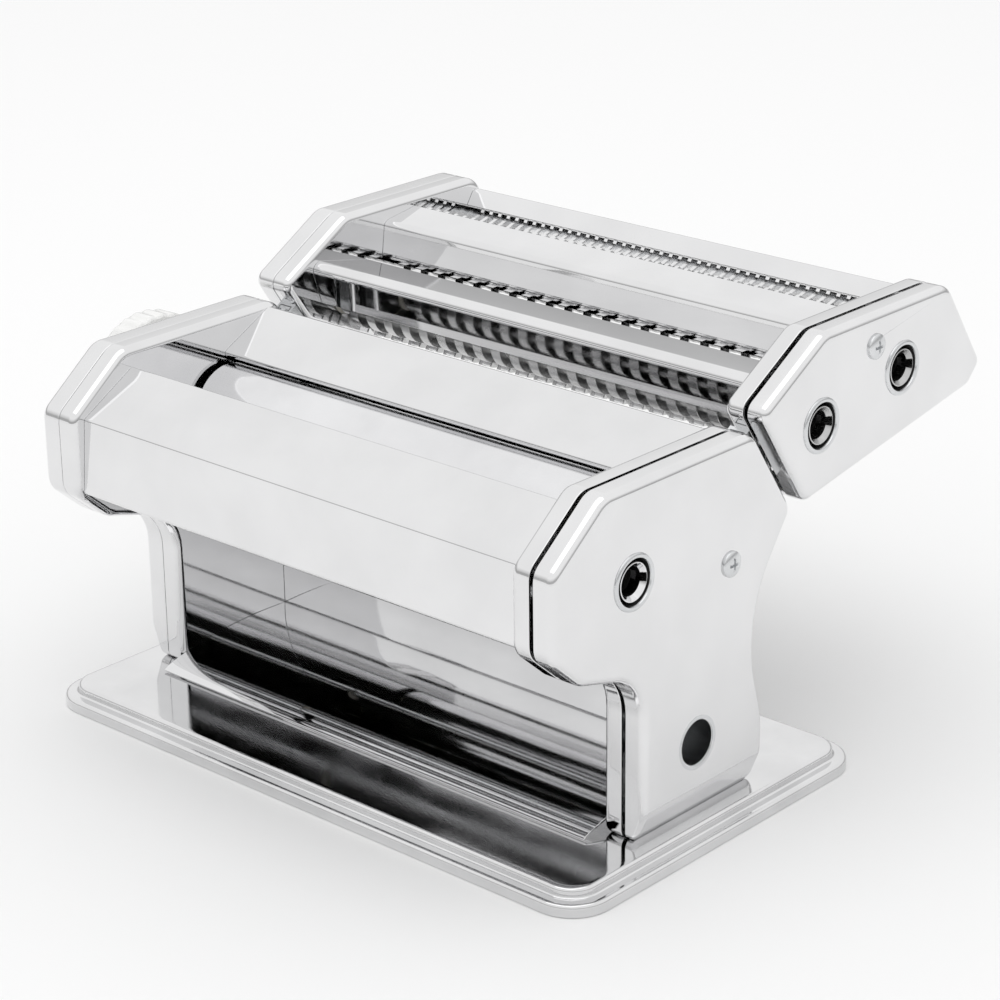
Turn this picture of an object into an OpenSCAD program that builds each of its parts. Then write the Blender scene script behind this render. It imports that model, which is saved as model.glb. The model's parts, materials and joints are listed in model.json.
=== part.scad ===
// Hand-cranked pasta roller machine with a slide-on noodle cutter head.
// Origin: centre of the base, on the plane it stands on. +X is the crank side, +Y the cutter side, +Z up.

/* [Machine] */
// Clear width between the inner side plates
sheet_w = 182; // [150:1:220]
// Depth of each side, from the inner plate's inner face to the cover's outer face
side_depth = 15.6; // [15.6:0.1:18]
// Depth of the inner plate's turned-out rim
rim_depth = 7; // [6.5:0.1:8]
// Dark joint between the rim and the outer cover on the crank side
rim_gap = 1.6; // [1:0.1:1.7]
// The same joint on the knob side, which is nearly shut
rim_gap_left = 0.2; // [0.1:0.05:0.4]
// Thickness of the sheet steel
sheet_t = 1; // [0.8:0.1:1.2]
// Height of the top edge of the side plates
side_top = 121.2; // [120.4:0.1:124]

/* [Base] */
// Length of the base along the rollers
base_l = 228.6; // [224:0.1:280]
// Depth of the base, front to back
base_d = 137; // [120:1:180]
// Height of the base deck
base_h = 7; // [6.6:0.1:8]
// Height of the lower step of the base
step_h = 4; // [3:0.1:4.6]
// Width of the step round the deck
step_w = 4.5; // [3:0.1:6]
// Corner radius of the base
base_r = 13.5; // [8:0.5:20]

/* [Rollers] */
// Radius of the two smooth rollers
roller_r = 14.2; // [13.4:0.1:14.4]
// Gap between the smooth rollers at rest, the thinnest setting
thin_gap = 0.3; // [0.2:0.05:0.6]
// How far the adjustable roller backs away at the thickest setting
gap_travel = 2.7; // [2:0.1:2.8]
// Turn of the thickness knob between the thinnest and the thickest setting
knob_turn = 270; // [180:10:280]
// Number of thickness settings
settings = 7; // [5:1:9]
// Teeth of each roller gear
roller_teeth = 14; // [13:1:16]
// Distance of the driven roller's axis in front of the base's centre
drive_front = 35; // [34.6:0.1:36]
// Height of the smooth rollers' axes
roller_z = 92.3; // [91.6:0.1:93]

/* [Crank sockets] */
// Radius of the hole that takes the crank's end
socket_r = 4.5; // [3.5:0.1:4.8]
// Depth of that hole
socket_depth = 20; // [14:1:26]
// Width of the key slot across the hole's mouth
key_w = 2.6; // [2:0.1:3]
// Radius of the socketed shaft ends
drive_journal_r = 6; // [5.8:0.1:6.2]
// Radius of the clamp sleeve's hole
clamp_r = 7.3; // [6:0.1:8]

/* [Cutter head] */
// Width of the wide noodles
wide_cut = 4; // [3:0.5:6]
// Width of the fine noodles
fine_cut = 2; // [1.5:0.5:3]
// Radius of the cutting rings
ring_r = 8.3; // [8:0.1:8.4]
// Depth of the grooves between the rings
groove_depth = 3; // [2.8:0.1:3.2]
// How far the rings of a pair reach into each other's grooves
ring_mesh = 1.3; // [1:0.05:1.4]
// Clearance on each side of a ring in its groove
ring_slack = 0.15; // [0.1:0.05:0.2]
// Teeth of each cutter gear
cutter_teeth = 12; // [11:1:14]
// Space between the machine's sloping back and the cutter head
dock_gap = 5; // [4.8:0.1:6]
// How far the head slides up its rails to come off
dock_travel = 36; // [30:1:40]

/* [Hidden] */

$fn = 48;
in_x = sheet_w / 2;
rim_x = in_x + rim_depth;
face_x = in_x + side_depth;
plate_x = in_x + sheet_t;
inside_x = face_x - sheet_t;
fit = 0.05;
press = 0.02;
loose = 0.3;
end_gap = 2;

// Side outlines as [y, z, corner radius], anticlockwise seen from the crank side.
side_shape = [
    [-30, base_h, 1.5], [26.5, base_h, 1.5], [26.5, 30, 40], [17, 62, 45], [38.6, 92.5, 5],
    [19.5, side_top, 7], [-47.5, side_top, 8], [-69.5, 104, 6], [-69.5, 78.5, 7],
    [-57, 67.5, 8], [-30, 60, 16]];
slope_low = [side_shape[4][0], side_shape[4][1]];
slope_top = [side_shape[5][0], side_shape[5][1]];
slope_run = norm(slope_top - slope_low);
slope_dir = (slope_top - slope_low) / slope_run;
slope_out = [slope_dir[1], -slope_dir[0]];
head_low = slope_low + slope_out * dock_gap;
head_foot = head_low - slope_dir * 4.2;
head_nose = head_low + slope_dir * (slope_run + 1.6);
head_shape = [
    [head_foot[0], head_foot[1], 4], [130.5, 106.3, 5], [137, 113, 3.5],
    [117, 142.8, 8], [52.8, 142.8, 8], [head_nose[0], head_nose[1], 4]];

// Roller and shaft places as [y, z].
pitch_d = 2 * roller_r + thin_gap;
drive_at = [-drive_front, roller_z];
adjust_at = drive_at + [pitch_d, 0];
gear_in = plate_x + 4.4;
gear_w = 5;
journal_r = 5;
small_journal_r = 4;
cam_in = gear_in + gear_w + 0.6;
cam_t = 2.4;
cam_r = 25;
follower_off = 19.5;
follower_r = 1.5;
block_t = 3.5;
block_in = plate_x + loose;
bar_at = [adjust_at[0] + 3.3, roller_z - 18.3];
bar_r = 3;
block_low = roller_z - 24.3;
block_high = roller_z + 10;
crank_hole = drive_journal_r + fit;
ring_out_r = crank_hole + 1.5;
clamp_at = [-5.6, 32];
post_r = 3.5;
post_right = [9, 83.9];
post_left = [28, 93];
head_post_right = [78.3, 132.5];
head_post_left = [64, 131];
screw_r = 1.9;

// Thickness knob, outside the left cover.
knob_shaft_r = 5;
knob_r = 24;
knob_out = face_x + 24.4;
knob_in = face_x + 6;
knob_rim_w = 10;
knob_hub_r = 13;
spring_r = 8.3;
spring_wire = 1.2;
spring_turns = 5;
spring_in = knob_in + 4.5;
shaft_end = knob_out - 2.9;
cap_t = 1.4;
cap_r = 10.2;
washer_t = 1.2;
pull = 4;
dial_t = 2;
dial_r = 21;
detent_at_r = 16;
detent_r = 1.4;

// Cutter pairs: the driven shaft, the angle from it to its partner behind, and the panels' folds and edges.
wide_tilt = -30;
fine_tilt = 0;
wide_at = [51.5, 114.7];
fine_at = [92.5, 122.1];
groove_r = ring_r - groove_depth;
pair_d = 2 * ring_r - ring_mesh;
wide_idle_at = wide_at + pair_d * [cos(wide_tilt), sin(wide_tilt)];
fine_idle_at = fine_at + pair_d * [cos(fine_tilt), sin(fine_tilt)];
head_gear_in = plate_x + 3;
head_gear_w = 6;
comb_t = 0.7;
comb_lane = pair_d / 2 - groove_r - (groove_depth - ring_mesh) / 2;
head_lip = [35, 131.2];
head_step = [70.7, 137];
head_rear = [116.6, 140.6];
wide_slot = [[62.5, 125.4], [69, 123.6]];
fine_slot = [[85.8, 139.3], [112, 133.8]];
wide_tooth = 3;
fine_tooth = 2.6;

function unit(v) = v / norm(v);
function bend(a, b) = a[0] * b[1] - a[1] * b[0];
function flat2(p) = [p[0], p[1]];
function turn_back(a) = a > 180 ? a - 360 : a < -180 ? a + 360 : a;

// Arc that rounds the corner b between its neighbours a and c.
function corner(a, b, c, r, n = 7) =
    let (u = unit(a - b), w = unit(c - b), half = acos(u * w) / 2,
         hub = b + unit(u + w) * r / sin(half),
         from = b + u * r / tan(half) - hub, to = b + w * r / tan(half) - hub,
         start = atan2(from[1], from[0]),
         sweep = turn_back(atan2(to[1], to[0]) - start))
    [for (i = [0:n]) hub + r * [cos(start + sweep * i / n), sin(start + sweep * i / n)]];

function rounded(path) =
    let (n = len(path))
    [for (i = [0:n - 1])
        each corner(flat2(path[(i + n - 1) % n]), flat2(path[i]), flat2(path[(i + 1) % n]), path[i][2])];

// The same outline, moved in by d, with its corner radii changed to stay parallel.
function inset(path, d) =
    let (n = len(path))
    [for (i = [0:n - 1])
        let (b = flat2(path[i]),
             e = unit(b - flat2(path[(i + n - 1) % n])), f = unit(flat2(path[(i + 1) % n]) - b),
             p = [-e[1], e[0]], q = [-f[1], f[0]], moved = b + d * (p + q) / (1 + p * q),
             r = bend(e, f) > 0 ? max(path[i][2] - d, 0.3) : path[i][2] + d)
        [moved[0], moved[1], r]];

// Open path with rounded inner corners.
function open_path(path) =
    let (n = len(path))
    [flat2(path[0]),
        each [for (i = [1:n - 2])
            each corner(flat2(path[i - 1]), flat2(path[i]), flat2(path[i + 1]), path[i][2], 5)],
        flat2(path[n - 1])];

// Outline of a sheet of thickness t, laid to the left of an open path.
function sheet(pts, t) =
    let (n = len(pts),
         side = [for (i = [0:n - 1])
            let (e = unit(pts[min(i + 1, n - 1)] - pts[min(i, n - 2)]),
                 f = unit(pts[max(i, 1)] - pts[max(i - 1, 0)]),
                 p = [-e[1], e[0]], q = [-f[1], f[0]])
            pts[i] + t * (p + q) / (1 + p * q)])
    concat(pts, [for (i = [0:n - 1]) side[n - 1 - i]]);

function polar(r, a) = r * [cos(a), sin(a)];
function involute_lag(a) = (tan(a) - a * PI / 180) * 180 / PI;

// Spur gear outline with n teeth on the pitch diameter d, thinned by slack at the pitch circle.
function gear_outline(n, d, slack, turn = 0, pressure = 20) =
    let (m = d / n, rb = d / 2 * cos(pressure), ra = d / 2 + 0.92 * m, rf = d / 2 - 1.25 * m,
         half = 90 / n - slack / d * 180 / PI + involute_lag(pressure),
         first = max(rb, rf), steps = 4,
         radii = [for (i = [0:steps]) first + (ra - first) * i / steps],
         lean = [for (r = radii) half - involute_lag(acos(min(1, rb / r)))])
    [for (k = [0:n - 1])
        let (c = turn + k * 360 / n)
        each concat(
            [polar(rf, c - half)],
            [for (i = [0:steps]) polar(radii[i], c - lean[i])],
            [for (i = [0:steps]) polar(radii[steps - i], c + lean[steps - i])],
            [polar(rf, c + half)])];

module along_x(x0, x1) {
    translate([x0, 0, 0]) rotate([90, 0, 90]) linear_extrude(x1 - x0) children();
}

module rod(x0, x1, at, r) {
    translate([x0, at[0], at[1]]) rotate([0, 90, 0]) cylinder(h = x1 - x0, r = r);
}

module tube(x0, x1, at, r_out, r_in) {
    difference() {
        rod(x0, x1, at, r_out);
        rod(x0 - 1, x1 + 1, at, r_in);
    }
}

// Copies to the crank side (+1) or the knob side (-1).
module to_side(side) {
    if (side > 0) children();
    else mirror([1, 0, 0]) children();
}

module bent_sheet(path, t = sheet_t, half_w = in_x) {
    along_x(-half_w, half_w) polygon(sheet(open_path(path), t));
}

// ---- Base ----

module slab(l, d, r, z0, z1) {
    translate([0, 0, z0]) linear_extrude(z1 - z0)
        polygon(rounded([[-l / 2, -d / 2, r], [l / 2, -d / 2, r], [l / 2, d / 2, r], [-l / 2, d / 2, r]]));
}

module base_screw_places() {
    for (sx = [-1, 1]) for (y = [-20, 17])
        translate([sx * (in_x + rim_depth / 2), y, 0]) children();
}

module base_tray() {
    color("gainsboro") difference() {
        union() {
            slab(base_l, base_d, base_r, 0, step_h);
            slab(base_l - 2 * step_w, base_d - 2 * step_w, base_r - step_w, 0, base_h);
        }
        slab(base_l - 2 * sheet_t, base_d - 2 * sheet_t, base_r - sheet_t, -1, step_h - sheet_t);
        slab(base_l - 2 * (step_w + sheet_t), base_d - 2 * (step_w + sheet_t),
            base_r - step_w - sheet_t, -1, base_h - sheet_t);
        base_screw_places() translate([0, 0, -1]) cylinder(h = base_h + 2, r = screw_r + fit);
    }
}

module rubber_feet() {
    foot_r = 8;
    color("dimgray")
        for (sx = [-1, 1]) for (sy = [-1, 1])
            translate([sx * (base_l / 2 - base_r - 4), sy * (base_d / 2 - base_r - 4), 0])
                cylinder(h = base_h - sheet_t, r = foot_r);
}

module base_screws() {
    head_h = 1.6;
    nut_h = 2;
    color("silver") base_screw_places() {
        translate([0, 0, base_h - sheet_t - head_h]) cylinder(h = head_h, r = 3.4);
        translate([0, 0, base_h - sheet_t]) cylinder(h = 2 * sheet_t, r = screw_r);
        translate([0, 0, base_h + sheet_t]) cylinder(h = nut_h, r = 2.4, $fn = 6);
    }
}

// ---- Side plates and covers ----

// Pressed plate: a web on the inside and a rim turned outwards.
module pressed_plate(shape) {
    difference() {
        along_x(in_x, rim_x) polygon(rounded(shape));
        along_x(plate_x, rim_x + 1) polygon(rounded(inset(shape, sheet_t)));
    }
}

// Cover: the same outline, closed on the outside.
module pressed_cover(shape, gap = rim_gap) {
    difference() {
        along_x(rim_x + gap, face_x) polygon(rounded(shape));
        along_x(rim_x, inside_x) polygon(rounded(inset(shape, sheet_t)));
    }
}

module stadium(x0, x1, at, r, run) {
    for (p = [at, at + [run, 0]]) rod(x0, x1, p, r);
    translate([x0, at[0], at[1] - r]) cube([x1 - x0, run, 2 * r]);
}

module rod_holes() {
    for (p = tie_places) rod(in_x - 1, plate_x + 1, p, rivet_r + fit);
}

tie_places = [[-57.5, 93], [14, 111], [21.9, 22]];
tie_r = 3.5;
rivet_r = 2;

module inner_plate(side) {
    color("lightgray") to_side(side) difference() {
        pressed_plate(side_shape);
        rod_holes();
        rod(in_x - 1, plate_x + 1, drive_at, side > 0 ? ring_out_r : journal_r + fit + 1.5);
        stadium(in_x - 1, plate_x + 1, adjust_at, journal_r + loose, gap_travel);
        stadium(in_x - 1, plate_x + 1, bar_at, bar_r + loose, gap_travel);
        for (y = [-20, 17]) translate([in_x + rim_depth / 2, y, base_h - 1])
            cylinder(h = sheet_t + 2, r = screw_r + fit);
    }
}

module inner_plate_left() {
    inner_plate(-1);
}

module inner_plate_right() {
    inner_plate(1);
}

module side_cover_left() {
    color("gainsboro") to_side(-1) difference() {
        pressed_cover(side_shape, rim_gap_left);
        rod(inside_x - 1, face_x + 1, adjust_at, knob_shaft_r + fit + 1.5);
        rod(inside_x - 1, face_x + 1, post_left, screw_r + fit);
    }
}

module side_cover_right() {
    color("gainsboro") difference() {
        pressed_cover(side_shape);
        rod(inside_x - 1, face_x + 1, drive_at, ring_out_r);
        rod(inside_x - 1, face_x + 1, clamp_at, clamp_r);
        rod(inside_x - 1, face_x + 1, post_right, screw_r + fit);
    }
}

// Standoff from the plate to the cover, drilled for the cover screw.
module cover_post(at) {
    difference() {
        rod(plate_x, inside_x, at, post_r);
        rod(inside_x - 8, inside_x + 1, at, screw_r + fit);
    }
}

module cover_screw(at) {
    head_h = 1.6;
    difference() {
        union() {
            rod(face_x, face_x + head_h, at, 4);
            rod(inside_x - 6, face_x + 0.5, at, screw_r);
        }
        for (a = [0, 90])
            translate([face_x + head_h, at[0], at[1]]) rotate([a, 0, 0]) cube([1.6, 4.4, 0.9], center = true);
    }
}

module cover_posts() {
    color("silver") {
        cover_post(post_right);
        to_side(-1) cover_post(post_left);
    }
}

module cover_screws() {
    color("whitesmoke") {
        cover_screw(post_right);
        to_side(-1) cover_screw(post_left);
    }
}

module riveted_rod(at) {
    head_h = 1.2;
    rod(-in_x, in_x, at, tie_r);
    rod(-plate_x, plate_x, at, rivet_r);
    for (side = [-1, 1]) to_side(side) rod(plate_x, plate_x + head_h, at, tie_r);
}

module tie_rods() {
    color("silver") for (p = tie_places) riveted_rod(p);
}

// ---- Panels, wall and chute ----

module front_panel() {
    color("gainsboro") bent_sheet([[-61, 78, 0], [-67, 78, 1.4], [-65, 102.9, 1.4],
        [-43.6, 115.4, 1.4], [-42.4, 111.5, 0]], -sheet_t);
}

module rear_panel() {
    color("gainsboro")
        bent_sheet([[-3.4, 106.9, 0], [-5.6, 109.4, 1.4], [16.2, 120.6, 2], [28.6, 102, 0]], -sheet_t);
}

module back_wall() {
    color("lightgray") bent_sheet([[17.2, 13.6, 0], [17.2, 98, 2], [21, 101, 0]], -sheet_t);
}

chute_front = [-38.5, base_h];

module chute() {
    crest = 7.4;
    rise = [for (i = [0:18])
        let (s = i / 18, y = chute_front[0] + s * (16.9 - chute_front[0]))
        [y, base_h + 0.9 + (crest - 0.9) * sin(90 * pow(s, 0.72) * 1.22) * (0.9 + 0.1 * s)]];
    under = [for (i = [0:18]) let (p = rise[18 - i]) [p[0], max(p[1] - sheet_t, base_h)]];
    color("gainsboro") along_x(-in_x, in_x) polygon(concat(rise, under));
}

// ---- Bearings and guides on the main frame ----

// Flanged bush in the inner plate.
module plate_bush(at, r) {
    tube(in_x, plate_x, at, r + fit + 1.5, r + fit);
    tube(plate_x, plate_x + 1.5, at, r + fit + 2.5, r + fit);
}

module drive_bushes() {
    color("ivory") {
        plate_bush(drive_at, drive_journal_r);
        to_side(-1) plate_bush(drive_at, journal_r);
    }
}

// Chamfered ring that lines a crank hole in the cover.
module shaft_ring(at) {
    lip = 0.9;
    tube(inside_x, face_x, at, ring_out_r, crank_hole);
    difference() {
        rod(face_x, face_x + lip, at, ring_out_r + 1);
        rod(face_x - 1, face_x + lip + 1, at, crank_hole);
    }
}

module crank_ring() {
    color("silver") shaft_ring(drive_at);
}

module clamp_sleeve() {
    wall = 1.5;
    color("darkgray") tube(plate_x, inside_x, clamp_at, clamp_r + wall, clamp_r);
}

module block_guides() {
    strip_h = 3;
    color("silver") for (side = [-1, 1]) to_side(side) {
        back = (side > 0 ? 2 : 18) + 6;
        for (z = [block_low - loose - strip_h, block_high + loose])
            translate([plate_x, adjust_at[0] - 11, z])
                cube([block_t + 0.4, back - adjust_at[0] + 6, strip_h]);
    }
}

blade_t = 0.6;

// Blade whose edge stays just off the driven roller.
module front_scraper() {
    tip = drive_at + polar(roller_r + loose, 218);
    foot = [-60, 80.5];
    middle = (foot + tip) / 2 - [0, 1];
    color("silver")
        bent_sheet([[foot[0], foot[1], 0], [middle[0], middle[1], 6], [tip[0], tip[1], 0]], -blade_t);
}

// The rear blade is carried on the bar, so it follows the adjustable roller.
module rear_scraper() {
    tip = adjust_at + polar(roller_r + loose, -52);
    foot_y = bar_at[0] + bar_r;
    color("silver") bent_sheet([[foot_y, bar_at[1] - bar_r, 0], [foot_y, bar_at[1] + bar_r, 3],
        [tip[0], tip[1], 0]], -blade_t, in_x - end_gap);
}

// Rails on the sloping back that hold the cutter head.
rail_low = 6;
rail_len = 21;

// Places a profile drawn as [x, away from the slope] and runs it up the slope.
module up_slope(start, run) {
    at = slope_low + slope_dir * start;
    translate([0, at[0], at[1]]) rotate([atan2(slope_dir[1], slope_dir[0]) - 90, 0, 0])
        linear_extrude(run) children();
}

module rail_profile() {
    translate([in_x + 2.5, 0]) square([2, 3]);
    translate([in_x + 1.2, 2.2]) square([4.6, 1.3]);
}

module dock_rails() {
    stop_h = 1.5;
    color("silver") for (side = [-1, 1]) to_side(side) {
        up_slope(rail_low, rail_len) rail_profile();
        up_slope(rail_low - stop_h, stop_h) translate([in_x, 0]) square([rim_depth, 3.5]);
    }
}

// ---- Driven roller ----

// Smooth barrel with a journal at each end; the crank end is drilled and slotted.
module socket_end(at, x1) {
    rod(x1 - socket_depth, x1 + 1, at, socket_r);
    slot_d = 5;
    translate([x1 - slot_d, at[0], at[1] - key_w / 2]) cube([slot_d + 1, drive_journal_r - 0.3, key_w]);
}

module drive_roller() {
    color("whitesmoke") difference() {
        union() {
            rod(-in_x + end_gap, in_x - end_gap, drive_at, roller_r);
            rod(-gear_in - gear_w, -in_x + end_gap + 1, drive_at, journal_r);
            rod(in_x - end_gap - 1, face_x, drive_at, drive_journal_r);
        }
        socket_end(drive_at, face_x);
    }
}

module spur(n, d, slack, at, x0, w, turn, bore) {
    to_side(-1) translate([0, at[0], at[1]]) difference() {
        along_x(x0, x0 + w) polygon(gear_outline(n, d, slack, turn));
        rod(x0 - 1, x0 + w + 1, [0, 0], bore);
    }
}

gear_slack = 0.3;

module drive_gear() {
    color("goldenrod")
        spur(roller_teeth, pitch_d, gear_slack, drive_at, gear_in, gear_w, 0, journal_r + press);
}

// ---- Adjustable roller and its sliding blocks ----

module adjustable_gear() {
    mesh_turn = 180 + 180 / roller_teeth;
    color("goldenrod")
        spur(roller_teeth, pitch_d, gear_slack, adjust_at, gear_in, gear_w, mesh_turn, journal_r + press);
}

module adjustable_roller() {
    color("whitesmoke") {
        rod(-in_x + end_gap, in_x - end_gap, adjust_at, roller_r);
        rod(-gear_in - gear_w, -in_x + end_gap + 1, adjust_at, journal_r);
        rod(in_x - end_gap - 1, block_in + block_t, adjust_at, journal_r);
    }
}

module bearing_block(y1) {
    y0 = adjust_at[0] - 10;
    difference() {
        translate([block_in, y0, block_low]) cube([block_t, y1 - y0, block_high - block_low]);
        rod(block_in - 1, block_in + block_t + 1, adjust_at, journal_r + fit);
        rod(block_in - 1, block_in + block_t + 1, bar_at, bar_r);
    }
}

module bearing_block_right() {
    color("ivory") bearing_block(2);
}

module bearing_block_left() {
    pin_at = adjust_at + [follower_off, 0];
    color("ivory") difference() {
        to_side(-1) bearing_block(pin_at[0] + 4);
        to_side(-1) rod(block_in - 1, block_in + block_t + 1, pin_at, follower_r);
    }
}

module block_bar() {
    color("silver") rod(-block_in - block_t, block_in + block_t, bar_at, bar_r);
}

module cam_follower() {
    color("silver") to_side(-1) rod(block_in, cam_in + cam_t, adjust_at + [follower_off, 0], follower_r);
}

// ---- Thickness knob ----

// Disc with a spiral slot: turning it by knob_turn moves the follower out by gap_travel.
module scroll_cam() {
    w = follower_r + 0.25;
    steps = 54;
    lead = 6;
    spiral = [for (i = [-1:steps + 1])
        let (a = i * knob_turn / steps) [follower_off + gap_travel * a / knob_turn, a]];
    ends = [[0, follower_off], [knob_turn, follower_off + gap_travel]];
    color("silver") to_side(-1) translate([0, adjust_at[0], adjust_at[1]]) difference() {
        rod(cam_in, cam_in + cam_t, [0, 0], cam_r);
        along_x(cam_in - 1, cam_in + cam_t + 1)
            polygon(concat([for (p = spiral) polar(p[0] - w, p[1])],
                [for (i = [0:steps + 2]) let (p = spiral[steps + 2 - i]) polar(p[0] + w, p[1])]));
        for (e = ends) rod(cam_in - 1, cam_in + cam_t + 1, polar(e[1], e[0]), w);
        rod(cam_in - 1, cam_in + cam_t + 1, [0, 0], knob_shaft_r - 1);
    }
}

module knob_shaft() {
    color("silver") to_side(-1) {
        rod(cam_in, cam_in + cam_t, adjust_at, knob_shaft_r - 1);
        rod(cam_in + cam_t, shaft_end - washer_t, adjust_at, knob_shaft_r);
        rod(shaft_end - washer_t, shaft_end, adjust_at, spring_r + 0.4);
    }
}

module knob_bush() {
    color("ivory") to_side(-1) {
        tube(inside_x, face_x, adjust_at, knob_shaft_r + fit + 1.5, knob_shaft_r + fit);
        tube(face_x, face_x + 1.5, adjust_at, knob_shaft_r + fit + 2.5, knob_shaft_r + fit);
    }
}

// Dial with an arc slot for the detent pin and one notch for each setting.
module dial_plate() {
    w = detent_r + loose;
    over = 7;
    steps = 36;
    arc = [for (i = [0:steps]) -over + i * (knob_turn + 2 * over) / steps];
    color("silver") to_side(-1) translate([0, adjust_at[0], adjust_at[1]]) difference() {
        tube(face_x, face_x + dial_t, [0, 0], dial_r, knob_shaft_r + 3);
        rotate([90, 0, 0]) along_x(face_x - 1, face_x + dial_t + 1)
            polygon(concat([for (a = arc) polar(detent_at_r - w, -a)],
                [for (i = [0:steps]) polar(detent_at_r + w, -arc[steps - i])]));
        for (k = [0:settings - 1])
            rotate([90, 0, 0]) rod(face_x - 1, face_x + dial_t + 1,
                polar(detent_at_r + 1, -k * knob_turn / (settings - 1)), w - 0.2);
    }
}

module thickness_knob() {
    cavity_r = spring_r + 0.9;
    color("whitesmoke") to_side(-1) difference() {
        union() {
            rod(knob_in, knob_out, adjust_at, knob_hub_r);
            rod(knob_out - knob_rim_w, knob_out, adjust_at, knob_r);
            rod(knob_in, knob_in + 3, adjust_at, detent_at_r + 3);
        }
        rod(knob_in - 1, spring_in + 1, adjust_at, knob_shaft_r + fit);
        rod(spring_in, knob_out - cap_t, adjust_at, cavity_r);
        rod(knob_out - cap_t, knob_out + 1, adjust_at, cap_r);
        translate([0, adjust_at[0], adjust_at[1]]) rotate([90, 0, 0])
            rod(knob_in - 1, knob_in + 4, [detent_at_r, 0], detent_r);
    }
}

module knob_cap() {
    color("silver") to_side(-1) rod(knob_out - cap_t, knob_out, adjust_at, cap_r);
}

module detent_pin() {
    color("silver") to_side(-1) translate([0, adjust_at[0], adjust_at[1]]) rotate([90, 0, 0])
        rod(face_x + 0.4, knob_in + 3, [detent_at_r, 0], detent_r);
}

// Coil spring: a ring of six points carried along a helix.
module knob_spring() {
    sides = 6;
    seg = 18;
    rings = spring_turns * seg;
    run = shaft_end - washer_t - spring_in - spring_wire;
    mid_r = spring_r - spring_wire / 2 - 0.2;
    pts = [for (i = [0:rings]) for (j = [0:sides - 1])
        let (a = i * 360 / seg, b = j * 360 / sides, r = mid_r + spring_wire / 2 * cos(b))
        [spring_in + spring_wire / 2 + run * i / rings + spring_wire / 2 * sin(b) * 0.98,
            adjust_at[0] + r * cos(a), adjust_at[1] + r * sin(a)]];
    skin = [for (i = [0:rings - 1]) for (j = [0:sides - 1])
        let (a = i * sides + j, b = i * sides + (j + 1) % sides)
        [a, b, b + sides, a + sides]];
    first = [for (j = [0:sides - 1]) sides - 1 - j];
    last = [for (j = [0:sides - 1]) rings * sides + j];
    color("silver") to_side(-1) polyhedron(pts, concat(skin, [first, last]), convexity = 10);
}

// ---- Cutter head ----

head_ties = [[79, 106.5], [122, 113]];

module cutter_plate(side) {
    color("lightgray") to_side(side) difference() {
        pressed_plate(head_shape);
        for (p = head_ties) rod(in_x - 1, plate_x + 1, p, rivet_r + fit);
        for (p = [wide_at, fine_at])
            rod(in_x - 1, plate_x + 1, p, (side > 0 ? drive_journal_r : small_journal_r) + fit + 1.5);
        for (p = [wide_idle_at, fine_idle_at])
            rod(in_x - 1, plate_x + 1, p, small_journal_r + fit + 1.5);
    }
}

module cutter_plate_left() {
    cutter_plate(-1);
}

module cutter_plate_right() {
    cutter_plate(1);
}

module cutter_cover_left() {
    color("gainsboro") to_side(-1) difference() {
        pressed_cover(head_shape, rim_gap_left);
        rod(inside_x - 1, face_x + 1, head_post_left, screw_r + fit);
    }
}

module cutter_cover_right() {
    color("gainsboro") difference() {
        pressed_cover(head_shape);
        for (p = [wide_at, fine_at]) rod(inside_x - 1, face_x + 1, p, ring_out_r);
        rod(inside_x - 1, face_x + 1, head_post_right, screw_r + fit);
    }
}

module cutter_front_panel() {
    color("gainsboro") bent_sheet([[39.8, 115.5, 0], [head_lip[0], head_lip[1], 3],
        [wide_slot[0][0], wide_slot[0][1], 0]], -sheet_t);
}

module cutter_middle_panel() {
    color("gainsboro") bent_sheet([[wide_slot[1][0], wide_slot[1][1], 0],
        [head_step[0], head_step[1], 2.4], [fine_slot[0][0], fine_slot[0][1], 0]], -sheet_t);
}

module cutter_rear_panel() {
    color("gainsboro") bent_sheet([[fine_slot[1][0], fine_slot[1][1], 0],
        [head_rear[0], head_rear[1], 2.2], [132.6, 116.5, 0]], -sheet_t);
}

module cutter_tie_rods() {
    color("silver") for (p = head_ties) riveted_rod(p);
}

module cutter_posts() {
    color("silver") {
        cover_post(head_post_right);
        to_side(-1) cover_post(head_post_left);
    }
}

module cutter_screws() {
    color("whitesmoke") {
        cover_screw(head_post_right);
        to_side(-1) cover_screw(head_post_left);
    }
}

module cutter_bushes() {
    color("ivory") for (side = [-1, 1]) to_side(side) {
        for (p = [wide_at, fine_at]) plate_bush(p, side > 0 ? drive_journal_r : small_journal_r);
        for (p = [wide_idle_at, fine_idle_at]) plate_bush(p, small_journal_r);
    }
}

module cutter_crank_rings() {
    color("silver") for (p = [wide_at, fine_at]) shaft_ring(p);
}

// Channels on the head that run over the rails.
module dock_channels() {
    mouth = 1.2;
    lips = 0.7;
    color("silver") for (side = [-1, 1]) to_side(side)
        up_slope(rail_low, rail_len) difference() {
            translate([in_x, mouth]) square([rim_depth, dock_gap - mouth]);
            translate([in_x + 0.9, mouth + lips]) square([5.2, 1.9]);
            translate([in_x + 2.2, 0]) square([2.6, 3]);
        }
}

// ---- Ring cutters and combs ----

// Shaft with rings spaced at the pitch; shift moves them half a pitch for the partner.
module ring_cutter(at, cut, shift, right_end, right_r) {
    pitch = 2 * cut;
    width = cut - ring_slack;
    reach = in_x - end_gap - cut;
    count = floor((reach - shift) / pitch);
    low = -floor((reach + shift) / pitch);
    rod(-in_x + end_gap, in_x - end_gap, at, groove_r);
    for (k = [low:count]) rod(k * pitch + shift - width / 2, k * pitch + shift + width / 2, at, ring_r);
    rod(-head_gear_in - head_gear_w, -in_x + end_gap + 1, at, small_journal_r);
    rod(in_x - end_gap - 1, right_end, at, right_r);
}

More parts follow.
